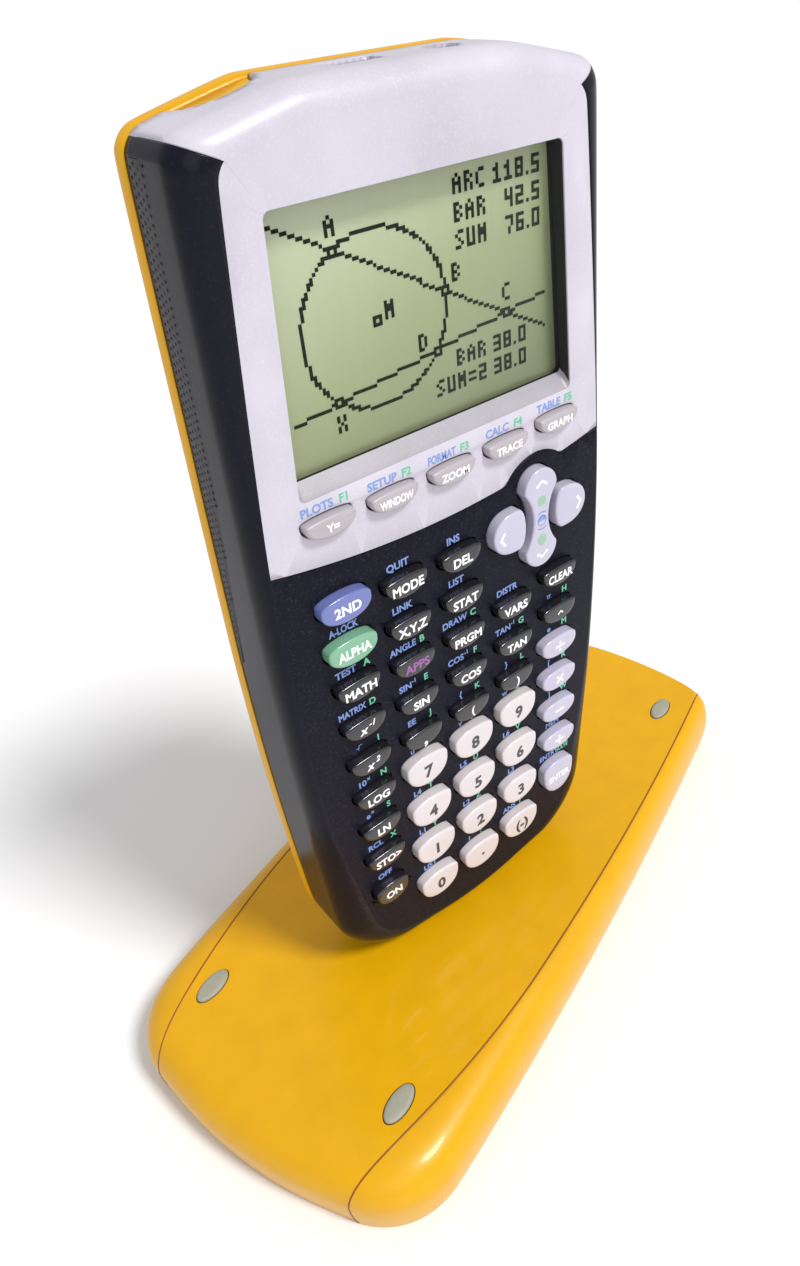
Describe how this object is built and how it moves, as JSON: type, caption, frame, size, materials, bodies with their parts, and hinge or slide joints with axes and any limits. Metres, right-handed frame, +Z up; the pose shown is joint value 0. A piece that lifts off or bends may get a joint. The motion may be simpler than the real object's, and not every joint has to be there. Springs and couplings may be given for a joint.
{
  "type": "graphing calculator",
  "caption": "Handheld graphing calculator with a dot display and a full keypad, standing upright on its separate yellow slide case.",
  "frame": {"origin": "on the table plane, at the bottom centre of the whole object's bounding box", "axes": "+X across the calculator to its right as seen from the keys, +Y from its face to its back, +Z up along its length"},
  "size_m": [0.1932, 0.1296, 0.2103],
  "materials": {
    "front_housing": "navy polycarbonate with fine mica, satin on the face and polished on the sides",
    "screen_bezel": "silver-lilac satin lacquer over plastic",
    "display_window": "clear acrylic pane",
    "display_module": "olive-green liquid-crystal glass with dark segments",
    "keypad_mat": "moulded silicone rubber",
    "circuit_board": "green solder mask with plated contacts",
    "rear_cover": "school-bus yellow, semi-gloss",
    "battery_door": "school-bus yellow, semi-gloss",
    "housing_screws": "zinc-plated steel",
    "slide_case": "school-bus yellow, semi-gloss",
    "case_feet": "grey elastomer",
    "soft_keys": "silver-lilac satin plastic",
    "dark_keys": "black polished plastic with printed legends",
    "digit_keys": "warm white polished plastic with printed digits",
    "lilac_keys": "pale lilac polished plastic",
    "blue_key": "blue polished plastic",
    "green_key": "green polished plastic"
  },
  "bodies": {
    "slide_case": {"slide_case": "slide_case", "case_feet": "case_feet"},
    "calculator": {"front_housing": "front_housing", "screen_bezel": "screen_bezel", "display_window": "display_window", "display_module": "display_module", "keypad_mat": "keypad_mat", "circuit_board": "circuit_board", "rear_cover": "rear_cover", "housing_screws": "housing_screws"},
    "battery_door": {"battery_door": "battery_door"},
    "key_y_equals": {"key_y_equals": "soft_keys"},
    "key_window": {"key_window": "soft_keys"},
    "key_zoom": {"key_zoom": "soft_keys"},
    "key_trace": {"key_trace": "soft_keys"},
    "key_graph": {"key_graph": "soft_keys"},
    "key_2nd": {"key_2nd": "blue_key"},
    "key_mode": {"key_mode": "dark_keys"},
    "key_del": {"key_del": "dark_keys"},
    "key_left": {"key_left": "lilac_keys"},
    "key_up_down": {"key_up_down": "lilac_keys"},
    "key_right": {"key_right": "lilac_keys"},
    "key_alpha": {"key_alpha": "green_key"},
    "key_variable": {"key_variable": "dark_keys"},
    "key_stat": {"key_stat": "dark_keys"},
    "key_math": {"key_math": "dark_keys"},
    "key_apps": {"key_apps": "dark_keys"},
    "key_prgm": {"key_prgm": "dark_keys"},
    "key_vars": {"key_vars": "dark_keys"},
    "key_clear": {"key_clear": "dark_keys"},
    "key_inverse": {"key_inverse": "dark_keys"},
    "key_sin": {"key_sin": "dark_keys"},
    "key_cos": {"key_cos": "dark_keys"},
    "key_tan": {"key_tan": "dark_keys"},
    "key_power": {"key_power": "dark_keys"},
    "key_square": {"key_square": "dark_keys"},
    "key_comma": {"key_comma": "dark_keys"},
    "key_open_bracket": {"key_open_bracket": "dark_keys"},
    "key_close_bracket": {"key_close_bracket": "dark_keys"},
    "key_divide": {"key_divide": "lilac_keys"},
    "key_log": {"key_log": "dark_keys"},
    "key_7": {"key_7": "digit_keys"},
    "key_8": {"key_8": "digit_keys"},
    "key_9": {"key_9": "digit_keys"},
    "key_multiply": {"key_multiply": "lilac_keys"},
    "key_ln": {"key_ln": "dark_keys"},
    "key_4": {"key_4": "digit_keys"},
    "key_5": {"key_5": "digit_keys"},
    "key_6": {"key_6": "digit_keys"},
    "key_subtract": {"key_subtract": "lilac_keys"},
    "key_store": {"key_store": "dark_keys"},
    "key_1": {"key_1": "digit_keys"},
    "key_2": {"key_2": "digit_keys"},
    "key_3": {"key_3": "digit_keys"},
    "key_add": {"key_add": "lilac_keys"},
    "key_on": {"key_on": "dark_keys"},
    "key_0": {"key_0": "digit_keys"},
    "key_point": {"key_point": "digit_keys"},
    "key_negative": {"key_negative": "digit_keys"},
    "key_enter": {"key_enter": "lilac_keys"}
  },
  "joints": [
    {"name": "calculator_lift", "type": "slide", "parent": "slide_case", "child": "calculator", "axis": [0, 0, 1], "range_m": [0, 0.06]},
    {"name": "battery_door_lift", "type": "slide", "parent": "calculator", "child": "battery_door", "axis": [0, 1, 0], "range_m": [0, 0.025]},
    {"name": "key_up_down_tip", "type": "hinge", "parent": "calculator", "child": "key_up_down", "pos_m": [0.01195, -0.014, 0.1246], "axis": [1, 0, 0], "range_deg": [-2.5, 2.5]},
    {"name": "key_enter_press", "type": "slide", "parent": "calculator", "child": "key_enter", "axis": [0, 1, 0], "range_m": [0, 0.001]},
    {"name": "key_7_press", "type": "slide", "parent": "calculator", "child": "key_7", "axis": [0, 1, 0], "range_m": [0, 0.001]},
    {"name": "key_y_equals_press", "type": "slide", "parent": "calculator", "child": "key_y_equals", "axis": [0, 1, 0], "range_m": [0, 0.001]},
    {"name": "key_math_press", "type": "slide", "parent": "calculator", "child": "key_math", "axis": [0, 1, 0], "range_m": [0, 0.001]},
    {"name": "key_left_press", "type": "slide", "parent": "calculator", "child": "key_left", "axis": [0, 1, 0], "range_m": [0, 0.001]},
    {"name": "key_right_press", "type": "slide", "parent": "calculator", "child": "key_right", "axis": [0, 1, 0], "range_m": [0, 0.001]},
    {"name": "key_on_press", "type": "slide", "parent": "calculator", "child": "key_on", "axis": [0, 1, 0], "range_m": [0, 0.001]},
    {"name": "key_2nd_press", "type": "slide", "parent": "calculator", "child": "key_2nd", "axis": [0, 1, 0], "range_m": [0, 0.001]},
    {"name": "key_window_press", "type": "slide", "parent": "calculator", "child": "key_window", "axis": [0, 1, 0], "range_m": [0, 0.001]},
    {"name": "key_zoom_press", "type": "slide", "parent": "calculator", "child": "key_zoom", "axis": [0, 1, 0], "range_m": [0, 0.001]},
    {"name": "key_trace_press", "type": "slide", "parent": "calculator", "child": "key_trace", "axis": [0, 1, 0], "range_m": [0, 0.001]},
    {"name": "key_graph_press", "type": "slide", "parent": "calculator", "child": "key_graph", "axis": [0, 1, 0], "range_m": [0, 0.001]},
    {"name": "key_mode_press", "type": "slide", "parent": "calculator", "child": "key_mode", "axis": [0, 1, 0], "range_m": [0, 0.001]},
    {"name": "key_del_press", "type": "slide", "parent": "calculator", "child": "key_del", "axis": [0, 1, 0], "range_m": [0, 0.001]},
    {"name": "key_alpha_press", "type": "slide", "parent": "calculator", "child": "key_alpha", "axis": [0, 1, 0], "range_m": [0, 0.001]},
    {"name": "key_variable_press", "type": "slide", "parent": "calculator", "child": "key_variable", "axis": [0, 1, 0], "range_m": [0, 0.001]},
    {"name": "key_stat_press", "type": "slide", "parent": "calculator", "child": "key_stat", "axis": [0, 1, 0], "range_m": [0, 0.001]},
    {"name": "key_apps_press", "type": "slide", "parent": "calculator", "child": "key_apps", "axis": [0, 1, 0], "range_m": [0, 0.001]},
    {"name": "key_prgm_press", "type": "slide", "parent": "calculator", "child": "key_prgm", "axis": [0, 1, 0], "range_m": [0, 0.001]},
    {"name": "key_vars_press", "type": "slide", "parent": "calculator", "child": "key_vars", "axis": [0, 1, 0], "range_m": [0, 0.001]},
    {"name": "key_clear_press", "type": "slide", "parent": "calculator", "child": "key_clear", "axis": [0, 1, 0], "range_m": [0, 0.001]},
    {"name": "key_inverse_press", "type": "slide", "parent": "calculator", "child": "key_inverse", "axis": [0, 1, 0], "range_m": [0, 0.001]},
    {"name": "key_sin_press", "type": "slide", "parent": "calculator", "child": "key_sin", "axis": [0, 1, 0], "range_m": [0, 0.001]},
    {"name": "key_cos_press", "type": "slide", "parent": "calculator", "child": "key_cos", "axis": [0, 1, 0], "range_m": [0, 0.001]},
    {"name": "key_tan_press", "type": "slide", "parent": "calculator", "child": "key_tan", "axis": [0, 1, 0], "range_m": [0, 0.001]},
    {"name": "key_power_press", "type": "slide", "parent": "calculator", "child": "key_power", "axis": [0, 1, 0], "range_m": [0, 0.001]},
    {"name": "key_square_press", "type": "slide", "parent": "calculator", "child": "key_square", "axis": [0, 1, 0], "range_m": [0, 0.001]},
    {"name": "key_comma_press", "type": "slide", "parent": "calculator", "child": "key_comma", "axis": [0, 1, 0], "range_m": [0, 0.001]},
    {"name": "key_open_bracket_press", "type": "slide", "parent": "calculator", "child": "key_open_bracket", "axis": [0, 1, 0], "range_m": [0, 0.001]},
    {"name": "key_close_bracket_press", "type": "slide", "parent": "calculator", "child": "key_close_bracket", "axis": [0, 1, 0], "range_m": [0, 0.001]},
    {"name": "key_divide_press", "type": "slide", "parent": "calculator", "child": "key_divide", "axis": [0, 1, 0], "range_m": [0, 0.001]},
    {"name": "key_log_press", "type": "slide", "parent": "calculator", "child": "key_log", "axis": [0, 1, 0], "range_m": [0, 0.001]},
    {"name": "key_8_press", "type": "slide", "parent": "calculator", "child": "key_8", "axis": [0, 1, 0], "range_m": [0, 0.001]},
    {"name": "key_9_press", "type": "slide", "parent": "calculator", "child": "key_9", "axis": [0, 1, 0], "range_m": [0, 0.001]},
    {"name": "key_multiply_press", "type": "slide", "parent": "calculator", "child": "key_multiply", "axis": [0, 1, 0], "range_m": [0, 0.001]},
    {"name": "key_ln_press", "type": "slide", "parent": "calculator", "child": "key_ln", "axis": [0, 1, 0], "range_m": [0, 0.001]},
    {"name": "key_4_press", "type": "slide", "parent": "calculator", "child": "key_4", "axis": [0, 1, 0], "range_m": [0, 0.001]},
    {"name": "key_5_press", "type": "slide", "parent": "calculator", "child": "key_5", "axis": [0, 1, 0], "range_m": [0, 0.001]},
    {"name": "key_6_press", "type": "slide", "parent": "calculator", "child": "key_6", "axis": [0, 1, 0], "range_m": [0, 0.001]},
    {"name": "key_subtract_press", "type": "slide", "parent": "calculator", "child": "key_subtract", "axis": [0, 1, 0], "range_m": [0, 0.001]},
    {"name": "key_store_press", "type": "slide", "parent": "calculator", "child": "key_store", "axis": [0, 1, 0], "range_m": [0, 0.001]},
    {"name": "key_1_press", "type": "slide", "parent": "calculator", "child": "key_1", "axis": [0, 1, 0], "range_m": [0, 0.001]},
    {"name": "key_2_press", "type": "slide", "parent": "calculator", "child": "key_2", "axis": [0, 1, 0], "range_m": [0, 0.001]},
    {"name": "key_3_press", "type": "slide", "parent": "calculator", "child": "key_3", "axis": [0, 1, 0], "range_m": [0, 0.001]},
    {"name": "key_add_press", "type": "slide", "parent": "calculator", "child": "key_add", "axis": [0, 1, 0], "range_m": [0, 0.001]},
    {"name": "key_0_press", "type": "slide", "parent": "calculator", "child": "key_0", "axis": [0, 1, 0], "range_m": [0, 0.001]},
    {"name": "key_point_press", "type": "slide", "parent": "calculator", "child": "key_point", "axis": [0, 1, 0], "range_m": [0, 0.001]},
    {"name": "key_negative_press", "type": "slide", "parent": "calculator", "child": "key_negative", "axis": [0, 1, 0], "range_m": [0, 0.001]}
  ]
}
